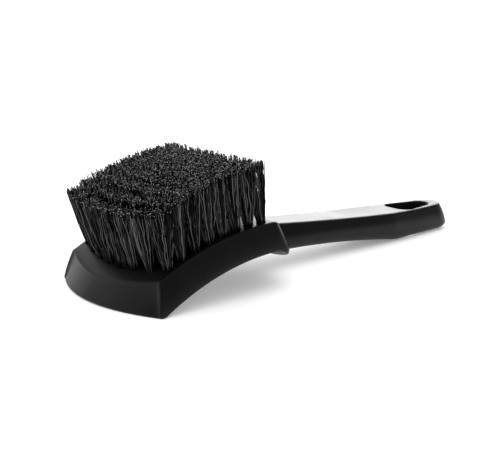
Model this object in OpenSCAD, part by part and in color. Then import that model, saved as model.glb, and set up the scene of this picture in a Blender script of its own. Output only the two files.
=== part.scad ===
// Wheel brush: one moulded body (head, neck, handle and hang hole), tufts of
// filament in blind holes, and a flat wire anchor across the foot of each tuft.
// Front of the head at -X, end of the handle at +X, table at Z = 0.

/* [Overall] */
// Length from the front of the head to the end of the handle
total_length = 270; // [268:1:276]

/* [Head] */
// Width across the top face of the head
head_top_width = 82; // [81:1:84]
// Width across the bottom edge of the head
head_base_width = 92; // [89:1:95]
// Height of the crown of the head above the table
crown_height = 36.2; // [35.4:0.1:38]
// Distance from the front of the brush to the crown
crown_x = 91.5; // [90:0.5:93]
// Radius of the arched top face, seen from the side
top_radius = 162; // [158:1:168]
// Height of the arch under the head
arch_height = 21.4; // [20.4:0.1:22.4]
// Distance from the front of the brush to the top of the arch
arch_x = 91; // [90:1:93]
// Radius of the arch under the head, seen from the side
arch_radius = 145; // [143:1:149]
// Distance that the bow of the front stands ahead of its corners, at the bottom
front_bow_base = 12; // [10.5:0.5:13.5]
// The same distance along the top edge
front_bow_top = 8; // [6.5:0.5:9.5]
// Distance that the front face leans back at its middle
front_lean = 6.8; // [5:0.2:7.6]
// Radius of the edge round the head
head_edge = 1.4; // [1:0.1:2]

/* [Handle] */
// Width of the handle's top face where it leaves the neck
grip_top_root = 22.4; // [21:0.2:24]
// Width of the handle's top face where its taper starts
grip_top_end = 28.8; // [27:0.2:30]
// Widest part of the handle where it leaves the neck
grip_wide_root = 31; // [29.5:0.5:33]
// Widest part of the handle where its taper starts
grip_wide_end = 32; // [31:0.5:34]
// Width of the handle's flat underside
grip_base = 17; // [15:0.5:19]
// Distance that each side of the handle comes in along its taper
grip_taper = 4.8; // [4:0.2:5.4]
// Height of the handle's top face at the neck
grip_root_height = 26.2; // [25:0.1:27.4]
// Height of the handle's top face at its end
grip_end_height = 17; // [16:0.1:18]
// Height of the underside at the neck
grip_root_lift = 9.2; // [8:0.1:10]
// Height of the widest line above the underside
grip_wide_rise = 6.5; // [5.5:0.1:7]
// The same height at the end of the handle
tip_wide_rise = 3.8; // [3:0.1:4.6]
// Radius of the edge round the handle's top face
grip_edge = 2.2; // [1.6:0.1:2.6]

/* [Hang hole] */
// Distance from the front of the brush to the corners at the wide end
hang_x = 230; // [228:0.5:232]
// Distance between the wide end's corners and the narrow end's
hang_reach = 18.6; // [17:0.2:20]
// Distance of each corner at the wide end from the middle
hang_spread = 3.8; // [3.2:0.1:4.2]
// Radius of the three corners
hang_radius = 6; // [5.4:0.1:6.4]

/* [Tufts] */
// Number of tufts across each row
tufts_across = 8; // [6:1:9]
// Radius of a tuft hole
hole_radius = 2.5; // [2.1:0.1:2.6]
// Depth of a tuft hole
hole_depth = 8; // [7:0.5:9]
// Free length of a tuft in the front row
tuft_length = 31; // [28:0.5:33]
// How much longer the tufts of the back row are
tuft_length_gain = 2; // [0:0.5:3]
// Radius of a tuft at its tip
tuft_tip_radius = 4.2; // [3.5:0.1:4.3]
// Angle that the tufts lean forward
tuft_lean = 11.5; // [9:0.5:13]
// Angle that the outermost tufts lean outward
tuft_fan = 2.5; // [1:0.5:4]
// Width of an anchor, down the hole
anchor_width = 2; // [1.6:0.1:2.4]
// Thickness of an anchor
anchor_thickness = 0.4; // [0.3:0.05:0.5]

/* [Hidden] */
$fn = 48;

ROWS = 8;

// Places along the brush, measured from its front
front_fade = 60;       // the bow of the front has died out here
neck_top_x = 88;       // the head's top starts to fall to the handle
neck_top_length = 26;
neck_base_x = 84;      // the underside starts to fall to the handle
neck_base_length = 34;
shoulder_top_x = 88;   // the top face starts to narrow
shoulder_wide_x = 92;  // the widest line starts to narrow
shoulder_length = 24;
head_level_x = 120;    // the head's two arcs are held level from here
grip_arch_x = 105;     // the underside of the handle is at its highest
grip_start_x = 112;
taper_x = 210;         // the sides start to come in
grip_rest_x = 216;     // the underside lies on the table from here
grip_level_x = 248;    // the top face is level from here
tip_length = 13.4;     // length of the rounded end
end_lean = 6;          // the widest line stands out past the top face at the end
end_clear = 0.1;       // keeps the last section from closing to a point

// Shape of a section
floor_cut = 0.3;       // trimmed off level, so that the feet are flat
side_bulge = 0.7;      // crown of the side walls
base_chamfer = 1;      // chamfer along the bottom edge of the head
head_rise = 1.2;       // height of the head's widest line above its bottom edge
grip_top_curve = 1.5;  // how quickly the top face levels out
tip_edge = 0.4;        // share of the edge's radius that is left at the end
edge_limit = 0.8;      // an edge takes up at most this share of the half width

// Cutters and clearances
trim_depth = 10;
hang_below = 5;
hang_cut = 40;
flank_inset = 0.03;
tuft_clearance = 0.1;
hole_overrun = 4;
anchor_depth = 6;
anchor_gap = 0.02;

// Tuft field, measured from the front of the brush
field_front_x = 17;
field_back_x = 84;
field_half_width = 36;
field_bow = 6.5;

function mix(a, b, k) = a + (b - a) * k;
function clamp01(v) = min(1, max(0, v));
function ease(v) = let (k = clamp01(v)) k * k * k * (k * (6 * k - 15) + 10);
function arc_drop(radius, reach) = radius - sqrt(radius * radius - reach * reach);

// Heights and half widths along the brush
function head_top_z(x) = crown_height - arc_drop(top_radius, min(x, head_level_x) - crown_x);
function head_base_z(x) = arch_height - arc_drop(arch_radius, min(x, head_level_x) - arch_x);
function grip_top_z(x) =
  let (k = clamp01((grip_level_x - x) / (grip_level_x - grip_start_x)))
  mix(grip_end_height, grip_root_height, pow(k, grip_top_curve));
function grip_base_z(x) =
  let (k = clamp01((x - grip_arch_x) / (grip_rest_x - grip_arch_x)))
  grip_root_lift * (1 - k * k) - floor_cut;
function top_z(x) = mix(head_top_z(x), grip_top_z(x), ease((x - neck_top_x) / neck_top_length));
function base_z(x) =
  let (k = ease((x - neck_base_x) / neck_base_length))
  max(-floor_cut, mix(head_base_z(x), grip_base_z(x), k));

function along_grip(x) = clamp01((x - grip_start_x) / (taper_x - grip_start_x));
function tail(x) = clamp01((x - taper_x) / (total_length - taper_x));
function end_round(x) =
  let (k = clamp01((x - total_length + tip_length) / (tip_length + end_clear)))
  sqrt(1 - k * k);
function half_width(x, head, grip, shoulder_x) =
  (mix(head, grip, ease((x - shoulder_x) / shoulder_length)) - grip_taper * tail(x)) * end_round(x);
function top_half(x) =
  half_width(x, head_top_width / 2, mix(grip_top_root, grip_top_end, along_grip(x)) / 2, shoulder_top_x);
function wide_half(x) =
  half_width(x, head_base_width / 2, mix(grip_wide_root, grip_wide_end, along_grip(x)) / 2, shoulder_wide_x);
function base_half(x) =
  half_width(x, head_base_width / 2 - base_chamfer, grip_base / 2, shoulder_wide_x);
function edge_radius(x) =
  let (full = mix(head_edge, grip_edge, ease((x - shoulder_top_x) / shoulder_length)))
  min(full * mix(tip_edge, 1, end_round(x)), edge_limit * top_half(x));
function wide_rise(x) =
  let (grip = mix(grip_wide_rise, tip_wide_rise, tail(x)))
  mix(head_rise, grip, ease((x - neck_base_x) / neck_base_length));

// One closed section of the body. The station is its place along the brush and
// the inset shrinks it, which rounds the edge of the front face.
ACROSS = 8;
EDGE_STEPS = 3;
FOOT_STEPS = 3;

function section(station, inset) =
  let (
    bow = clamp01(1 - station / front_fade),
    lean = end_lean * tail(station),
    edge = edge_radius(station),
    top_y = top_half(station) - inset,
    wide_y = wide_half(station) - inset,
    base_y = base_half(station) - inset,
    top_start = station + front_lean * bow - lean,
    base_start = station - lean,
    top_side = top_start + front_bow_top * bow,
    base_side = base_start + front_bow_base * bow,
    wide_side = station + front_bow_base * bow,
    top_level = top_z(top_side) - inset,
    base_level = base_z(base_side) + inset,
    wide_level = base_level + wide_rise(station),
    side = side_points(
      [top_y, top_level], [wide_y, wide_level], [base_y, base_level],
      edge, [top_side, wide_side, base_side]
    ),
    side_count = len(side)
  )
  concat(
    [
      for (i = [0:ACROSS])
        let (t = 2 * i / ACROSS - 1, x = top_start + front_bow_top * bow * t * t)
        [x, (top_y - edge) * t, top_z(x) - inset]
    ],
    side,
    [
      for (i = [0:ACROSS])
        let (t = 1 - 2 * i / ACROSS, x = base_start + front_bow_base * bow * t * t)
        [x, base_y * t, base_z(x) + inset]
    ],
    [for (i = [side_count - 1:-1:0]) [side[i].x, -side[i].y, side[i].z]]
  );

// Points down one side, between the top face and the underside. Corners are
// [y, z] pairs, and places holds x at the top, at the widest line and below.
function side_points(top, wide, base, edge, places) =
  let (
    down = (wide - top) / norm(wide - top),
    start = [top.x - edge, top.y],
    finish = top + down * edge,
    middle = (finish + wide) / 2 + side_bulge * [-down.y, down.x]
  )
  concat(
    [
      for (i = [1:EDGE_STEPS])
        let (k = i / EDGE_STEPS)
        place_upper((1 - k) * (1 - k) * start + 2 * k * (1 - k) * top + k * k * finish, top, wide, places)
    ],
    [place_upper(middle, top, wide, places), place_upper(wide, top, wide, places)],
    [
      for (i = [1:FOOT_STEPS - 1])
        let (a = 90 * i / FOOT_STEPS)
        [
          mix(places[1], places[2], 1 - cos(a)),
          mix(base.x, wide.x, cos(a)),
          mix(wide.y, base.y, sin(a))
        ]
    ]
  );
function place_upper(point, top, wide, places) =
  [mix(places[0], places[1], clamp01((top.y - point.y) / (top.y - wide.y))), point.x, point.y];

// Stations along the brush, closer together where the shape turns
HEAD_STEP = 5;
NECK_STEP = 2;
GRIP_STEP = 10;
TURN_STEP = 16;
neck_end_x = neck_base_x + neck_base_length;
tip_start_x = total_length - tip_length;
STATIONS = concat(
  [for (a = [0:45:90]) [head_edge * (1 - cos(a)), head_edge * (1 - sin(a))]],
  [for (x = [HEAD_STEP:HEAD_STEP:neck_base_x - NECK_STEP]) [x, 0]],
  [for (x = [neck_base_x:NECK_STEP:neck_end_x]) [x, 0]],
  [for (x = [neck_end_x + GRIP_STEP:GRIP_STEP:tip_start_x]) [x, 0]],
  [for (a = [TURN_STEP / 2:TURN_STEP:90]) [tip_start_x + tip_length * sin(a), 0]],
  [[total_length, 0]]
);
RING = len(section(0, 0));
SIDE = (RING - 2 * (ACROSS + 1)) / 2;

// Corners of the front face: the top and bottom edges joined by upright strips
function front_faces() =
  let (last = ACROSS, foot = ACROSS + 1 + SIDE, foot_end = foot + ACROSS)
  concat(
    [for (i = [0:ACROSS - 1]) [i, foot_end - i, foot_end - i - 1, i + 1]],
    [for (i = [1:SIDE]) [last, last + i + 1, last + i]],
    [for (i = [1:SIDE]) [0, RING - i, foot_end + SIDE - i]]
  );

// Corners of the end face: the two sides joined by level strips
function end_faces(first) =
  let (
    right_top = first + ACROSS + 1,
    right_foot = first + ACROSS + SIDE,
    foot = right_foot + 1,
    foot_end = foot + ACROSS
  )
  concat(
    [for (i = [0:ACROSS - 1]) [first + i, first + i + 1, right_top]],
    [[first, right_top, first + RING - 1]],
    [for (i = [0:SIDE - 2]) [right_top + i, right_top + i + 1, first + RING - i - 2, first + RING - i - 1]],
    [for (i = [0:ACROSS - 1]) [right_foot, foot + i, foot + i + 1]],
    [[right_foot, foot_end, foot_end + 1]]
  );

module body_shell() {
  rings = [for (s = STATIONS) each section(s[0], s[1])];
  last = (len(STATIONS) - 1) * RING;
  walls = [
    for (i = [0:len(STATIONS) - 2], j = [0:RING - 1])
      let (a = i * RING + j, b = i * RING + (j + 1) % RING)
      [a, b, b + RING, a + RING]
  ];
  translate([-total_length / 2, 0, 0])
    polyhedron(points = rings, faces = concat(front_faces(), walls, end_faces(last)), convexity = 6);
}

// The hang hole: three round corners and the flanks that join them. The flanks
// cross the corners just inside the tangent, so that they cut cleanly.
module hang_hole() {
  tip = [hang_x + hang_reach, 0];
  corner = [hang_x, hang_spread];
  mirrored_corner = [hang_x, -hang_spread];
  reach = hang_radius - flank_inset;
  flank = reach * [hang_spread, hang_reach] / norm([hang_spread, hang_reach]);
  mirrored_flank = [flank.x, -flank.y];
  back = [-reach, 0];
  translate([-total_length / 2, 0, -hang_below])
    linear_extrude(height = hang_cut) {
      for (centre = [tip, corner, mirrored_corner])
        translate(centre)
          circle(r = hang_radius);
      polygon([
        tip + flank, corner + flank, corner + back,
        mirrored_corner + back, mirrored_corner + mirrored_flank, tip + mirrored_flank
      ]);
    }
}

// Places its children at one tuft of a row, with Z along the tuft and the
// origin on the head's top face
module at_tuft(row, column) {
  t = 2 * column / (tufts_across - 1) - 1;
  back = row / (ROWS - 1);
  x = mix(field_front_x, field_back_x, back) + field_bow * (1 - back) * t * t;
  translate([x - total_length / 2, field_half_width * t, head_top_z(x)])
    rotate([-tuft_fan * t, -tuft_lean, 0])
      children();
}

module tuft_holes() {
  for (row = [0:ROWS - 1], column = [0:tufts_across - 1])
    at_tuft(row, column)
      translate([0, 0, -hole_depth])
        cylinder(r = hole_radius, h = hole_depth + hole_overrun);
}

module brush_body() {
  color("#1e1c1c")
    difference() {
      body_shell();
      translate([-total_length, -head_base_width, -trim_depth])
        cube([2 * total_length, 2 * head_base_width, trim_depth]);
      hang_hole();
      tuft_holes();
    }
}

// A tuft is folded round its anchor, so the anchor's slot splits its foot
module tuft_row(row) {
  foot_radius = hole_radius - tuft_clearance;
  foot_depth = hole_depth - tuft_clearance;
  slot = anchor_thickness + 2 * tuft_clearance;
  free_length = tuft_length + tuft_length_gain * row / (ROWS - 1);
  color("#262424")
    for (column = [0:tufts_across - 1])
      at_tuft(row, column)
        difference() {
          union() {
            translate([0, 0, -foot_depth])
              cylinder(r = foot_radius, h = foot_depth);
            cylinder(r1 = foot_radius, r2 = tuft_tip_radius, h = free_length);
          }
          translate([-slot / 2, -hole_radius, -anchor_depth - slot / 2 - anchor_width / 2])
            cube([slot, 2 * hole_radius, anchor_width + slot]);
        }
}

module anchor_row(row) {
  length = 2 * (hole_radius - anchor_gap);
  color("#9a9aa0")
    for (column = [0:tufts_across - 1])
      at_tuft(row, column)
        translate([0, 0, -anchor_depth])
          cube([anchor_thickness, length, anchor_width], center = true);
}

brush_body();
tuft_row(0);  // tuft_row_01
tuft_row(1);  // tuft_row_02
tuft_row(2);  // tuft_row_03
tuft_row(3);  // tuft_row_04
tuft_row(4);  // tuft_row_05
tuft_row(5);  // tuft_row_06
tuft_row(6);  // tuft_row_07
tuft_row(7);  // tuft_row_08
anchor_row(0);  // anchor_row_01
anchor_row(1);  // anchor_row_02
anchor_row(2);  // anchor_row_03
anchor_row(3);  // anchor_row_04
anchor_row(4);  // anchor_row_05
anchor_row(5);  // anchor_row_06
anchor_row(6);  // anchor_row_07
anchor_row(7);  // anchor_row_08
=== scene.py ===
"""Wheel brush: the moulded body, the folded filament tufts and their wire anchors.

The body and the tufts are rebuilt finely from the same dimensions as part.scad, in
millimetres from the front of the brush, and put in the row frame in metres.
"""

import math

import bpy
import numpy as np
from mathutils import Euler, Matrix, Vector


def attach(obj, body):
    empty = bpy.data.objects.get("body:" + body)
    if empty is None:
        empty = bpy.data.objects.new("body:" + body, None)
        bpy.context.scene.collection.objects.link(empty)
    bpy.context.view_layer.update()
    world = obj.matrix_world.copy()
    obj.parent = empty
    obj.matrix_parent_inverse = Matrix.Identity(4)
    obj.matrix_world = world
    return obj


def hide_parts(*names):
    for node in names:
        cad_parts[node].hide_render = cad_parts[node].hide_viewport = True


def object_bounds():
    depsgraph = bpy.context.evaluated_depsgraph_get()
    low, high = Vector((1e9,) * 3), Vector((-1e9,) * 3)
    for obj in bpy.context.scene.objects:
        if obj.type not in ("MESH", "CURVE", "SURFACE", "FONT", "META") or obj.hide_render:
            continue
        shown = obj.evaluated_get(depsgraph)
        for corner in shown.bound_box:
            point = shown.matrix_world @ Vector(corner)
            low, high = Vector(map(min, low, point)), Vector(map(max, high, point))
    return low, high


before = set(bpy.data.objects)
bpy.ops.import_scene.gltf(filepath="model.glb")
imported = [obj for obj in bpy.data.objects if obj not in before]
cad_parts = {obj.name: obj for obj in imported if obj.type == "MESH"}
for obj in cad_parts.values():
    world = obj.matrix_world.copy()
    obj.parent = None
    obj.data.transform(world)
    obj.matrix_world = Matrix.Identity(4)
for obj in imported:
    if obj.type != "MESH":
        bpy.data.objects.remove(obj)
cad_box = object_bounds()

MM = 0.001
SEED = 700

# ---------------------------------------------------------------- dimensions, mm
LENGTH = 270
HEAD_TOP_HALF = 41
HEAD_BASE_HALF = 46
CROWN_HEIGHT, CROWN_X, TOP_RADIUS = 36.2, 91.5, 162
ARCH_HEIGHT, ARCH_X, ARCH_RADIUS = 21.4, 91, 145
FRONT_BOW_BASE, FRONT_BOW_TOP, FRONT_LEAN, FRONT_FADE = 12, 8, 6.8, 60
HEAD_EDGE, GRIP_EDGE = 1.4, 2.2
GRIP_TOP = (11.2, 14.4)
GRIP_WIDE = (15.5, 16)
GRIP_BASE_HALF = 8.5
GRIP_TAPER, TAPER_X, TIP_LENGTH = 4.8, 210, 13.4
GRIP_ROOT_HEIGHT, GRIP_END_HEIGHT = 26.2, 17
GRIP_ROOT_LIFT = 9.2
HEAD_RISE, GRIP_WIDE_RISE, TIP_WIDE_RISE = 1.2, 6.5, 3.8
NECK_TOP_X, NECK_TOP_LENGTH = 88, 26
NECK_BASE_X, NECK_BASE_LENGTH = 84, 34
SHOULDER_TOP_X, SHOULDER_WIDE_X, SHOULDER_LENGTH = 88, 92, 24
GRIP_START_X, GRIP_LEVEL_X, GRIP_ARCH_X, GRIP_REST_X = 112, 248, 105, 216
HEAD_LEVEL_X = 120      # the head's two arcs are held level from here
GRIP_TOP_CURVE = 1.5    # how quickly the handle's top face levels out
END_LEAN, END_CLEAR = 6, 0.02
SIDE_BULGE = 0.7
BASE_CHAMFER = 1
TIP_EDGE = 0.4          # share of the edge's radius that is left at the end
EDGE_LIMIT = 0.9        # an edge takes up at most this share of the half width
HANG_X, HANG_REACH, HANG_SPREAD, HANG_RADIUS = 230, 18.6, 3.8, 6
HANG_EDGE = 1.3         # radius of the rounded rim
CUT_OVERRUN = 2

ROWS, TUFTS_ACROSS = 8, 8
HOLE_RADIUS, HOLE_DEPTH = 2.5, 8
TUFT_LENGTH, TUFT_LENGTH_GAIN = 31, 2
TUFT_LEAN, TUFT_FAN = 11.5, 2.5
FIELD_FRONT_X, FIELD_BACK_X, FIELD_HALF, FIELD_BOW = 17, 84, 36, 6.5
HOLE_POINT = 0.7        # depth of the drill point below a hole
COUNTERSINK_DEPTH, COUNTERSINK_FLARE, HOLE_OVERRUN = 0.9, 1.9, 4
ANCHOR_DEPTH = 6

# Fineness of the body
ACROSS_POINTS = 41
EDGE_STEPS, WALL_STEPS, FOOT_STEPS, RIM_STEPS = 7, 8, 8, 6
HEAD_STEP, NECK_STEP, GRIP_STEP = 1.5, 0.6, 2.0
FRONT_TURN, END_TURN = 10, 3.0
CORNER_STEPS, HOLE_SIDES = 28, 28
SHARP_ANGLE = 38


# ---------------------------------------------------------------- small helpers
def mix(a, b, k):
    return a + (b - a) * k


def clamp01(v):
    return min(1.0, max(0.0, v))


def ease(v):
    k = clamp01(v)
    return k * k * k * (k * (6 * k - 15) + 10)


def arc_drop(radius, reach):
    return radius - math.sqrt(radius * radius - reach * reach)


def to_row(points):
    """Points in millimetres from the front of the brush, as metres in the row frame."""
    points = np.asarray(points, float) - (LENGTH / 2, 0, 0)
    return points * MM


def add_mesh(name, points, faces, materials):
    """A new object with this mesh."""
    mesh = bpy.data.meshes.new(name)
    mesh.from_pydata([tuple(p) for p in points], [], faces)
    mesh.update()
    piece = bpy.data.objects.new(name, mesh)
    bpy.context.scene.collection.objects.link(piece)
    for material in materials:
        mesh.materials.append(material)
    return piece


# ---------------------------------------------------------------- body profiles
def head_top_z(x):
    return CROWN_HEIGHT - arc_drop(TOP_RADIUS, min(x, HEAD_LEVEL_X) - CROWN_X)


def head_base_z(x):
    return ARCH_HEIGHT - arc_drop(ARCH_RADIUS, min(x, HEAD_LEVEL_X) - ARCH_X)


def grip_top_z(x):
    k = clamp01((GRIP_LEVEL_X - x) / (GRIP_LEVEL_X - GRIP_START_X))
    return mix(GRIP_END_HEIGHT, GRIP_ROOT_HEIGHT, k ** GRIP_TOP_CURVE)


def grip_base_z(x):
    k = clamp01((x - GRIP_ARCH_X) / (GRIP_REST_X - GRIP_ARCH_X))
    return GRIP_ROOT_LIFT * (1 - k * k)


def top_z(x):
    return mix(head_top_z(x), grip_top_z(x), ease((x - NECK_TOP_X) / NECK_TOP_LENGTH))


def base_z(x):
    k = ease((x - NECK_BASE_X) / NECK_BASE_LENGTH)
    return max(0.0, mix(head_base_z(x), grip_base_z(x), k))


def tail(x):
    """How far x is along the taper at the end of the handle, from 0 to 1."""
    return clamp01((x - TAPER_X) / (LENGTH - TAPER_X))


def end_round(x):
    k = clamp01((x - LENGTH + TIP_LENGTH) / (TIP_LENGTH + END_CLEAR))
    return math.sqrt(1 - k * k)


def half_width(x, head, grip, shoulder_x):
    along = clamp01((x - GRIP_START_X) / (TAPER_X - GRIP_START_X))
    narrow = ease((x - shoulder_x) / SHOULDER_LENGTH)
    straight = mix(head, mix(grip[0], grip[1], along), narrow)
    return (straight - GRIP_TAPER * tail(x)) * end_round(x)


def side_points(top, wide, base, edge, places):
    """Points down one side of a section, between its top face and its underside."""
    top, wide, base = Vector(top), Vector(wide), Vector(base)
    down = (wide - top).normalized()
    start = Vector((top.x - edge, top.y))
    finish = top + down * edge
    outward = Vector((-down.y, down.x))
    points = []
    for i in range(1, EDGE_STEPS + 1):
        k = i / EDGE_STEPS
        points.append((1 - k) ** 2 * start + 2 * k * (1 - k) * top + k * k * finish)
    for i in range(1, WALL_STEPS + 1):
        k = i / WALL_STEPS
        points.append(finish.lerp(wide, k) + outward * SIDE_BULGE * 4 * k * (1 - k))
    side = []
    for p in points:
        fall = clamp01((top.y - p.y) / (top.y - wide.y))
        side.append((mix(places[0], places[1], fall), p.x, p.y))
    for i in range(1, FOOT_STEPS):
        a = math.pi / 2 * i / FOOT_STEPS
        x = mix(places[1], places[2], 1 - math.cos(a))
        side.append((x, mix(base.x, wide.x, math.cos(a)), mix(wide.y, base.y, math.sin(a))))
    return side


def section(station, inset, across):
    """One closed section of the body, and how many points go down each side.

    The station is its place along the brush. The inset shrinks it, which rounds the edge
    of the front face.
    """
    bow = clamp01(1 - station / FRONT_FADE)
    lean = END_LEAN * tail(station)
    narrow = ease((station - SHOULDER_TOP_X) / SHOULDER_LENGTH)
    rounding = end_round(station)
    edge = mix(HEAD_EDGE, GRIP_EDGE, narrow) * mix(TIP_EDGE, 1, rounding)
    grip_rise = mix(GRIP_WIDE_RISE, TIP_WIDE_RISE, tail(station))
    rise = mix(HEAD_RISE, grip_rise, ease((station - NECK_BASE_X) / NECK_BASE_LENGTH))
    top_y = half_width(station, HEAD_TOP_HALF, GRIP_TOP, SHOULDER_TOP_X) - inset
    wide_y = half_width(station, HEAD_BASE_HALF, GRIP_WIDE, SHOULDER_WIDE_X) - inset
    base_y = half_width(station, HEAD_BASE_HALF - BASE_CHAMFER, (GRIP_BASE_HALF, GRIP_BASE_HALF),
                        SHOULDER_WIDE_X) - inset
    edge = min(edge, top_y * EDGE_LIMIT)
    top_start = station + FRONT_LEAN * bow - lean
    base_start = station - lean
    top_side = top_start + FRONT_BOW_TOP * bow
    base_side = base_start + FRONT_BOW_BASE * bow
    wide_side = station + FRONT_BOW_BASE * bow
    top_level = top_z(top_side) - inset
    base_level = base_z(base_side) + inset
    side = side_points((top_y, top_level), (wide_y, base_level + rise), (base_y, base_level),
                       edge, (top_side, wide_side, base_side))
    ring = []
    for t in across:
        x = top_start + FRONT_BOW_TOP * bow * t * t
        ring.append((x, (top_y - edge) * t, top_z(x) - inset))
    ring += side
    for t in reversed(across):
        x = base_start + FRONT_BOW_BASE * bow * t * t
        ring.append((x, base_y * t, base_z(x) + inset))
    ring += [(x, -y, z) for x, y, z in reversed(side)]
    return ring, len(side)


def body_stations():
    """(place, inset) of each section: close together where the shape turns."""
    stations = []
    for a in range(0, 91, FRONT_TURN):
        turn = math.radians(a)
        stations.append((HEAD_EDGE * (1 - math.cos(turn)), HEAD_EDGE * (1 - math.sin(turn))))
    tip_start = LENGTH - TIP_LENGTH
    stations += [(x, 0) for x in np.arange(2 * HEAD_STEP, NECK_BASE_X, HEAD_STEP)]
    stations += [(x, 0) for x in np.arange(NECK_BASE_X, HEAD_LEVEL_X, NECK_STEP)]
    stations += [(x, 0) for x in np.arange(HEAD_LEVEL_X, tip_start, GRIP_STEP)]
    for a in np.arange(0, 90 + END_TURN / 2, END_TURN):
        stations.append((tip_start + TIP_LENGTH * math.sin(math.radians(a)), 0))
    return stations


def body_shell(material):
    """The body without its holes, lofted through all its sections."""
    across = list(np.linspace(-1, 1, ACROSS_POINTS))
    stations = body_stations()
    rings = [section(place, inset, across) for place, inset in stations]
    side = rings[0][1]
    ring = len(rings[0][0])
    last_across = len(across) - 1
    points = [p for r, _ in rings for p in r]
    faces = []
    # front face: the top and bottom edges joined by upright strips
    foot = last_across + 1 + side
    foot_end = foot + last_across
    for i in range(last_across):
        faces.append((i, foot_end - i, foot_end - i - 1, i + 1))
    faces.append([last_across] + list(range(foot, last_across, -1)))
    faces.append([0] + list(range(ring - 1, foot_end - 1, -1)))
    # walls
    for i in range(len(stations) - 1):
        for j in range(ring):
            a = i * ring + j
            b = i * ring + (j + 1) % ring
            faces.append((a, b, b + ring, a + ring))
    # end face: one flat piece a fraction of a millimetre wide
    first = (len(stations) - 1) * ring
    faces.append(list(range(first, first + ring)))
    return add_mesh("moulded_body", to_row(points), faces, [material])


def hang_outline(grow):
    """The outline of the hang hole, three round corners, with every point moved out by grow."""
    corners = ((HANG_X + HANG_REACH, 0), (HANG_X, HANG_SPREAD), (HANG_X, -HANG_SPREAD))
    flank = math.pi / 2 - math.atan2(HANG_SPREAD, HANG_REACH)
    turns = ((-flank, flank), (flank, math.pi), (math.pi, 2 * math.pi - flank))
    radius = HANG_RADIUS + grow
    outline = []
    for (x, y), (start, finish) in zip(corners, turns):
        for i in range(CORNER_STEPS + 1):
            a = mix(start, finish, i / CORNER_STEPS)
            outline.append((x + radius * math.cos(a), y + radius * math.sin(a)))
    return outline


def hang_cutter():
    """A plug that flares to a rounded rim at both faces of the handle."""
    levels = []
    for i in range(RIM_STEPS + 1):
        a = math.pi / 2 * i / RIM_STEPS
        levels.append((1 - math.sin(a), 1 - math.cos(a)))
    rings = []
    for flare, depth in levels:
        outline = hang_outline(HANG_EDGE * flare)
        rings.append([(x, y, base_z(x) + HANG_EDGE * depth) for x, y in outline])
    for flare, depth in reversed(levels):
        outline = hang_outline(HANG_EDGE * flare)
        rings.append([(x, y, top_z(x) - HANG_EDGE * depth) for x, y in outline])
    below = [(x, y, z - CUT_OVERRUN) for x, y, z in rings[0]]
    above = [(x, y, z + CUT_OVERRUN) for x, y, z in rings[-1]]
    rings = [below] + rings + [above]
    count = len(rings[0])
    faces = [list(reversed(range(count)))]
    for i in range(len(rings) - 1):
        for j in range(count):
            a, b = i * count + j, i * count + (j + 1) % count
            faces.append((a, b, b + count, a + count))
    faces.append([(len(rings) - 1) * count + j for j in range(count)])
    return add_mesh("hang_cutter", to_row([p for r in rings for p in r]), faces, [])


def tuft_matrix(row, column):
    """Place of one tuft, with Z along the tuft and the origin on the head's top face."""
    t = 2 * column / (TUFTS_ACROSS - 1) - 1
    back = row / (ROWS - 1)
    x = mix(FIELD_FRONT_X, FIELD_BACK_X, back) + FIELD_BOW * (1 - back) * t * t
    turn = Euler((math.radians(-TUFT_FAN * t), math.radians(-TUFT_LEAN), 0)).to_matrix().to_4x4()
    return Matrix.Translation((x, FIELD_HALF * t, head_top_z(x))) @ turn


def hole_cutter():
    """All the blind tuft holes as one mesh, each with a small countersink at its mouth."""
    points, faces = [], []
    sides = HOLE_SIDES
    profile = [(0, -HOLE_DEPTH - HOLE_POINT), (HOLE_RADIUS, -HOLE_DEPTH),
               (HOLE_RADIUS, -COUNTERSINK_DEPTH), (HOLE_RADIUS + COUNTERSINK_FLARE, HOLE_OVERRUN)]
    for row in range(ROWS):
        for column in range(TUFTS_ACROSS):
            place = tuft_matrix(row, column)
            first = len(points)
            points.append(place @ Vector((0, 0, profile[0][1])))
            for radius, z in profile[1:]:
                for i in range(sides):
                    a = 2 * math.pi * i / sides
                    points.append(place @ Vector((radius * math.cos(a), radius * math.sin(a), z)))
            for i in range(sides):
                j = (i + 1) % sides
                faces.append((first, first + 1 + j, first + 1 + i))
                for level in range(len(profile) - 2):
                    a = first + 1 + level * sides
                    faces.append((a + i, a + j, a + j + sides, a + i + sides))
            top = first + 1 + (len(profile) - 2) * sides
            faces.append([top + i for i in range(sides)])
    return add_mesh("hole_cutter", to_row([tuple(p) for p in points]), faces, [])


def cut(piece, cutter):
    """Takes cutter out of piece and deletes cutter."""
    modifier = piece.modifiers.new("cut", "BOOLEAN")
    modifier.operation = "DIFFERENCE"
    modifier.solver = "EXACT"
    modifier.object = cutter
    graph = bpy.context.evaluated_depsgraph_get()
    mesh = bpy.data.meshes.new_from_object(piece.evaluated_get(graph))
    piece.modifiers.clear()
    old = piece.data
    piece.data = mesh
    bpy.data.meshes.remove(old)
    bpy.data.objects.remove(cutter)


# ---------------------------------------------------------------- materials
def new_material(name):
    material = bpy.data.materials.new(name)
    material.use_nodes = True
    nodes = material.node_tree.nodes
    return material, nodes, material.node_tree.links, nodes["Principled BSDF"]


def noise(nodes, links, coords, scale, detail=2.0, rough=0.5):
    node = nodes.new("ShaderNodeTexNoise")
    node.inputs["Scale"].default_value = scale
    node.inputs["Detail"].default_value = detail
    node.inputs["Roughness"].default_value = rough
    links.new(coords, node.inputs["Vector"])
    return node.outputs["Fac"]


def ramp(nodes, links, value, low, high, dark, light):
    """A colour ramp from dark at low to light at high."""
    node = nodes.new("ShaderNodeValToRGB")
    node.color_ramp.elements[0].position = low
    node.color_ramp.elements[0].color = (*dark, 1)
    node.color_ramp.elements[1].position = high
    node.color_ramp.elements[1].color = (*light, 1)
    links.new(value, node.inputs["Fac"])
    return node.outputs["Color"]


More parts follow.
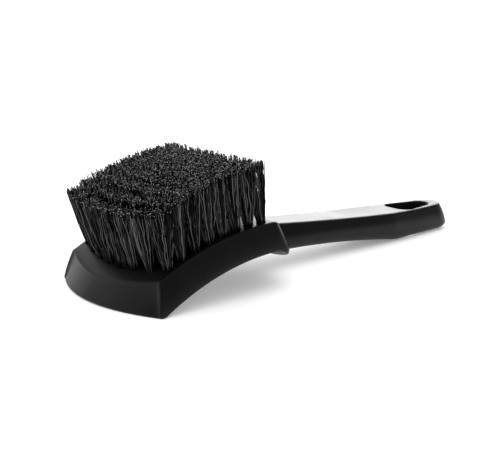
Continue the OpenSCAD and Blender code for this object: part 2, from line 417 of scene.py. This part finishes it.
def body_material():
    """Satin black moulded plastic: faint mottling, a fine spark-eroded grain and dust."""
    material, nodes, links, shader = new_material("satin_black_plastic")
    coords = nodes.new("ShaderNodeTexCoord").outputs["Object"]
    mottle = noise(nodes, links, coords, 60, 3)
    shade = ramp(nodes, links, mottle, 0.3, 0.75, (0.0030, 0.0027, 0.0025), (0.0052, 0.0046, 0.0043))
    links.new(shade, shader.inputs["Base Color"])
    smear = noise(nodes, links, coords, 35, 4, 0.6)
    spread = nodes.new("ShaderNodeMapRange")
    spread.inputs["To Min"].default_value = 0.33
    spread.inputs["To Max"].default_value = 0.47
    links.new(smear, spread.inputs["Value"])
    links.new(spread.outputs["Result"], shader.inputs["Roughness"])
    shader.inputs["Specular IOR Level"].default_value = 0.16
    grain = noise(nodes, links, coords, 2600, 2)
    bump = nodes.new("ShaderNodeBump")
    bump.inputs["Strength"].default_value = 0.10
    bump.inputs["Distance"].default_value = 0.00008
    links.new(grain, bump.inputs["Height"])
    links.new(bump.outputs["Normal"], shader.inputs["Normal"])
    return material


def strand_material(name, colour, roughness, specular):
    """One shade of extruded filament. Its sockets hold plain values, so it exports as it is."""
    material, _, _, shader = new_material(name)
    shader.inputs["Base Color"].default_value = (*colour, 1)
    shader.inputs["Roughness"].default_value = roughness
    shader.inputs["Specular IOR Level"].default_value = specular
    return material


def anchor_material():
    """Flat drawn wire: lengthwise drawing marks in roughness and colour."""
    material, nodes, links, shader = new_material("drawn_wire")
    coords = nodes.new("ShaderNodeTexCoord").outputs["Object"]
    stretch = nodes.new("ShaderNodeMapping")
    stretch.inputs["Scale"].default_value = (4000, 200, 4000)
    links.new(coords, stretch.inputs["Vector"])
    marks = noise(nodes, links, stretch.outputs["Vector"], 1, 2)
    shade = ramp(nodes, links, marks, 0.3, 0.7, (0.42, 0.42, 0.43), (0.58, 0.58, 0.60))
    links.new(shade, shader.inputs["Base Color"])
    shader.inputs["Metallic"].default_value = 1.0
    shader.inputs["Roughness"].default_value = 0.35
    return material


# ---------------------------------------------------------------- filaments
STRAND_RADIUS = 0.235
RADIUS_RANGE = (0.92, 1.08)
FOLDED_PER_TUFT = 46
SIDES = 5
LEG_RINGS, FOLD_RINGS = 13, 5
HOLE_MARGIN = 0.1       # kept between the outermost strands and the wall of their hole

# Crimp, which is much the same all over one tuft
CRIMP_LENGTH = 11.0
CRIMP_SIZE, CRIMP_RANGE = 0.28, (0.5, 1.5)
CRIMP_ONSET = 5         # the crimp is at full size from a fifth of the way up
PHASE_SCATTER, HEADING_SCATTER = 0.9, 0.7

# Splay, and how far each tip strays
SPREAD_ACROSS, SPREAD_ALONG = 5.4, 5.3
SPLAY = 0.9
CORNER_FILL = 0.75      # 0 leaves a tuft round at its tips, 1 makes it square
TIP_SCATTER = 0.85
BOW_SCATTER = 0.55
LENGTH_SCATTER = 0.45
STRAY_SHARE, STRAY_SCATTER = 0.06, 1.3

# The fold round the anchor: half width, and height from the anchor's middle
FOLD_MOUTH = (0.75, 2)
FOLD_WAIST = (0.62, -0.4)
FOLD_DEPTH, FOLD_DEPTH_RANGE = 1.35, 0.35
FOLD_NARROW, FOLD_WIDEN = 0.8, 0.9
FOLD_FLATTEN = 0.7

# Shades of the strands and colours of the cut ends; two of the cut-end colours are painted highlight
BODY_SHADES, END_SHADES_AND_GLINTS = 3, 3


def tip_offset(x, y):
    """Where a strand that leaves the hole at (x, y), from 0 to 1 from its centre, ends up."""
    reach = math.hypot(x, y)
    squareness = reach / max(abs(x), abs(y))
    grow = mix(1.0, squareness, CORNER_FILL)
    return x * grow * SPREAD_ALONG, y * grow * SPREAD_ACROSS


def leg_path(root, tip, length, rng, tuft_phase, tuft_swing):
    """Centre line of one leg from the hole's mouth to the cut end, in tuft coordinates."""
    s = np.linspace(0, 1, LEG_RINGS)
    phase = tuft_phase + rng.normal(0, PHASE_SCATTER)
    heading = tuft_swing + rng.normal(0, HEADING_SCATTER)
    size = CRIMP_SIZE * rng.uniform(*CRIMP_RANGE)
    swing = size * np.sin(2 * math.pi * length * s / CRIMP_LENGTH + phase)
    swing *= np.minimum(1, s * CRIMP_ONSET)
    bow = rng.normal(0, BOW_SCATTER, 2)
    lateral = s[:, None] ** SPLAY
    path = np.empty((LEG_RINGS, 3))
    path[:, :2] = root + (np.asarray(tip) - root) * lateral
    path[:, :2] += np.sin(math.pi * s)[:, None] * bow
    path[:, 0] += swing * math.cos(heading)
    path[:, 1] += swing * math.sin(heading)
    path[:, 2] = length * s
    return path


def folded_strand(index, free_length, spin, rng, phase, swing):
    """One filament: up one leg from under the anchor, and down the other side of it."""
    golden = math.pi * (3 - math.sqrt(5))
    ends = []
    for side in (-1, 1):
        reach = math.sqrt((index + 0.5) / FOLDED_PER_TUFT)
        angle = index * golden * 0.5 % math.pi + spin
        x = side * reach * math.sin(angle)
        y = side * reach * math.cos(angle)
        root = np.array((x, y)) * (HOLE_RADIUS - STRAND_RADIUS - HOLE_MARGIN)
        tip = np.array(tip_offset(x, y)) + rng.normal(0, TIP_SCATTER, 2)
        length = free_length + rng.normal(0, LENGTH_SCATTER)
        if rng.random() < STRAY_SHARE:
            length += rng.normal(0, STRAY_SCATTER)
        ends.append(leg_path(root, tip, length, rng, phase, swing))
    fold = []
    depth = -FOLD_DEPTH - rng.uniform(0, FOLD_DEPTH_RANGE)
    mouth, waist = FOLD_MOUTH, FOLD_WAIST
    first, second = ends[0][0], ends[1][0]
    sign = 1 if first[0] < second[0] else -1
    level = (first[1] + second[1]) / 2
    for x, z in ((-mouth[0], mouth[1]), (-waist[0], waist[1]), (0, depth), waist, mouth):
        y = mix(first[1], second[1], 0.5 + sign * x / 2)
        width = FOLD_NARROW + FOLD_WIDEN * (z > 0)
        fold.append((sign * x * width, mix(level, y, FOLD_FLATTEN), z - ANCHOR_DEPTH))
    return np.vstack([ends[0][::-1], fold, ends[1]])


def sweep(path, radius, place):
    """Ring points of a round strand along path."""
    tangent = np.gradient(path, axis=0)
    tangent /= np.linalg.norm(tangent, axis=1)[:, None]
    guide = np.array((0.0, 1.0, 0.0))
    across = np.cross(tangent, guide)
    across /= np.linalg.norm(across, axis=1)[:, None]
    up = np.cross(across, tangent)
    angles = 2 * math.pi * np.arange(SIDES) / SIDES
    rings = (path[:, None, :] + radius * (np.cos(angles)[None, :, None] * across[:, None, :]
                                          + np.sin(angles)[None, :, None] * up[:, None, :]))
    points = rings.reshape(-1, 3)
    return points @ place[:3, :3].T + place[:3, 3]


def tuft_row(row, materials):
    """All the filaments of one row of tufts as one mesh."""
    rng = np.random.default_rng(SEED + row)
    free_length = TUFT_LENGTH + TUFT_LENGTH_GAIN * row / (ROWS - 1)
    rings = 2 * LEG_RINGS + FOLD_RINGS
    tube = []
    for i in range(rings - 1):
        for j in range(SIDES):
            a, b = i * SIDES + j, i * SIDES + (j + 1) % SIDES
            tube.append((a, b, b + SIDES, a + SIDES))
    tube = np.array(tube)
    cap_start = np.arange(SIDES)[::-1]
    cap_end = np.arange(SIDES) + (rings - 1) * SIDES
    points, quads, caps, quad_slots, cap_slots = [], [], [], [], []
    first = 0
    for column in range(TUFTS_ACROSS):
        place = np.array(tuft_matrix(row, column))
        spin, phase, swing = rng.uniform(0, 2 * math.pi, 3)
        for index in range(FOLDED_PER_TUFT):
            path = folded_strand(index, free_length, spin, rng, phase, swing)
            radius = STRAND_RADIUS * rng.uniform(*RADIUS_RANGE)
            points.append(sweep(path, radius, place))
            quads.append(tube + first)
            caps.append(cap_start + first)
            caps.append(cap_end + first)
            quad_slots.append(np.full(len(tube), rng.integers(BODY_SHADES)))
            # each cut end takes the dark end colour or one of the two painted highlights
            cap_slots.append(BODY_SHADES + rng.integers(END_SHADES_AND_GLINTS, size=2))
            first += rings * SIDES
    points = to_row(np.vstack(points))
    quads = np.vstack(quads)
    caps = np.array(caps)
    slots = np.concatenate(quad_slots + cap_slots)

    mesh = bpy.data.meshes.new("filaments")
    mesh.vertices.add(len(points))
    mesh.vertices.foreach_set("co", points.ravel())
    corners = np.concatenate([quads.ravel(), caps.ravel()])
    mesh.loops.add(len(corners))
    mesh.loops.foreach_set("vertex_index", corners.astype(np.int32))
    starts = np.concatenate([np.arange(len(quads)) * 4, quads.size + np.arange(len(caps)) * SIDES])
    mesh.polygons.add(len(starts))
    mesh.polygons.foreach_set("loop_start", starts.astype(np.int32))
    for material in materials:
        mesh.materials.append(material)
    mesh.polygons.foreach_set("material_index", slots.astype(np.int32))
    mesh.polygons.foreach_set("use_smooth", np.arange(len(starts)) < len(quads))
    mesh.update(calc_edges=True)
    mesh.validate()
    name = f"filaments_{row + 1:02d}"
    piece = bpy.data.objects.new(name, mesh)
    bpy.context.scene.collection.objects.link(piece)
    return piece


# ---------------------------------------------------------------- camera
AZIMUTH, ELEVATION = -39.9, 13.75
CAMERA_DISTANCE = 0.5937
LENS_PER_WIDTH = 2.2205
SENSOR = 36
CLIP_END = 100
AIM = (0.0858, -0.0249, 0.030)  # from the front of the brush, the middle and the table


def direction(azimuth, elevation):
    """The way from the brush to whatever sees it from this azimuth and elevation."""
    a, e = math.radians(azimuth), math.radians(elevation)
    return Vector((math.sin(a) * math.cos(e), -math.cos(a) * math.cos(e), math.sin(e)))


def make_camera():
    low, _ = cad_box
    aim = Vector((low[0] + AIM[0], AIM[1], AIM[2]))
    back = direction(AZIMUTH, ELEVATION)
    data = bpy.data.cameras.new("camera")
    data.sensor_width = SENSOR
    data.lens = LENS_PER_WIDTH * SENSOR
    data.clip_end = CLIP_END
    camera = bpy.data.objects.new("camera", data)
    bpy.context.scene.collection.objects.link(camera)
    camera.location = aim + back * CAMERA_DISTANCE
    camera.rotation_euler = back.to_track_quat("Z", "Y").to_euler()
    bpy.context.scene.camera = camera


make_camera()

# ---------------------------------------------------------------- the object
plastic = body_material()
body = body_shell(plastic)
cut(body, hang_cutter())
cut(body, hole_cutter())
body.data.shade_smooth()
body.data.set_sharp_from_angle(angle=math.radians(SHARP_ANGLE))
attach(body, "root")
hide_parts("brush_body")

strand_shades = [
    strand_material("filament_black", (0.0008, 0.0008, 0.0008), 0.34, 0.05),
    strand_material("filament_dark", (0.0020, 0.0019, 0.0018), 0.28, 0.20),
    strand_material("filament_grey", (0.022, 0.0212, 0.0205), 0.22, 0.9),
]
# The grey and pale cut ends are painted highlight: lighter colour standing in for light caught on the
# cut faces. The dark end is the filament's own colour.
end_shades_and_painted_glints = [
    strand_material("cut_end_dark", (0.006, 0.006, 0.0057), 0.6, 0.2),
    strand_material("cut_end_grey_painted_glint", (0.110, 0.107, 0.102), 0.55, 0.4),
    strand_material("cut_end_pale_painted_glint", (0.420, 0.410, 0.395), 0.5, 0.5),
]
for row in range(ROWS):
    filaments = tuft_row(row, strand_shades + end_shades_and_painted_glints)
    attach(filaments, "root")
    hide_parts(f"tuft_row_{row + 1:02d}")

wire = anchor_material()
for row in range(ROWS):
    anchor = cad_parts[f"anchor_row_{row + 1:02d}"]
    anchor.data.materials.clear()
    anchor.data.materials.append(wire)


# ---------------------------------------------------------------- stage
WHITE = (1, 1, 1, 1)
FLOOR_SHADE, FLOOR_GLOW = 0.86, 0.22
FLOOR_HALF, FLOOR_DROP = 20.0, 0.00005


def make_floor():
    """A plain pale floor just under the brush, with a glow of its own that softens shadows."""
    material, _, _, shader = new_material("pale_floor")
    shader.inputs["Base Color"].default_value = (FLOOR_SHADE, FLOOR_SHADE, FLOOR_SHADE, 1)
    shader.inputs["Roughness"].default_value = 0.9
    shader.inputs["Specular IOR Level"].default_value = 0.0
    shader.inputs["Emission Color"].default_value = WHITE
    shader.inputs["Emission Strength"].default_value = FLOOR_GLOW
    size, drop = FLOOR_HALF, FLOOR_DROP
    corners = [(-size, -size, -drop), (size, -size, -drop), (size, size, -drop), (-size, size, -drop)]
    floor = add_mesh("floor", corners, [(0, 1, 2, 3)], [material])


def area_light(name, azimuth, elevation, distance, size, energy):
    """A soft box seen from the brush at this azimuth and elevation, facing it."""
    way = direction(azimuth, elevation)
    data = bpy.data.lights.new(name, "AREA")
    data.shape = "RECTANGLE"
    data.size, data.size_y = size
    data.energy = energy
    light = bpy.data.objects.new(name, data)
    bpy.context.scene.collection.objects.link(light)
    light.location = way * distance
    light.rotation_euler = way.to_track_quat("Z", "Y").to_euler()
    light.visible_camera = False


def make_world(lit, mirrored, seen):
    """An even sky, with one brightness for what it lights, one in reflections and one as seen."""
    world = bpy.data.worlds.new("studio")
    bpy.context.scene.world = world
    world.use_nodes = True
    nodes, links = world.node_tree.nodes, world.node_tree.links
    rays = nodes.new("ShaderNodeLightPath")
    shade = nodes["Background"]
    shade.inputs["Color"].default_value = WHITE
    shade.inputs["Strength"].default_value = lit
    shade = shade.outputs["Background"]
    for ray, strength in (("Is Glossy Ray", mirrored), ("Is Camera Ray", seen)):
        other = nodes.new("ShaderNodeBackground")
        other.inputs["Color"].default_value = WHITE
        other.inputs["Strength"].default_value = strength
        choice = nodes.new("ShaderNodeMixShader")
        links.new(rays.outputs[ray], choice.inputs["Fac"])
        links.new(shade, choice.inputs[1])
        links.new(other.outputs["Background"], choice.inputs[2])
        shade = choice.outputs["Shader"]
    links.new(shade, nodes["World Output"].inputs["Surface"])


make_floor()
make_world(lit=1.05, mirrored=0.22, seen=1.05)
area_light("back_box", azimuth=141, elevation=15, distance=1.6, size=(1.7, 0.8), energy=27)
area_light("left_back_box", azimuth=215, elevation=24, distance=1.6, size=(2.6, 1.3), energy=9)
area_light("top_box", azimuth=0, elevation=88, distance=1.5, size=(1.8, 1.8), energy=7)
bpy.context.scene.view_settings.view_transform = "Standard"
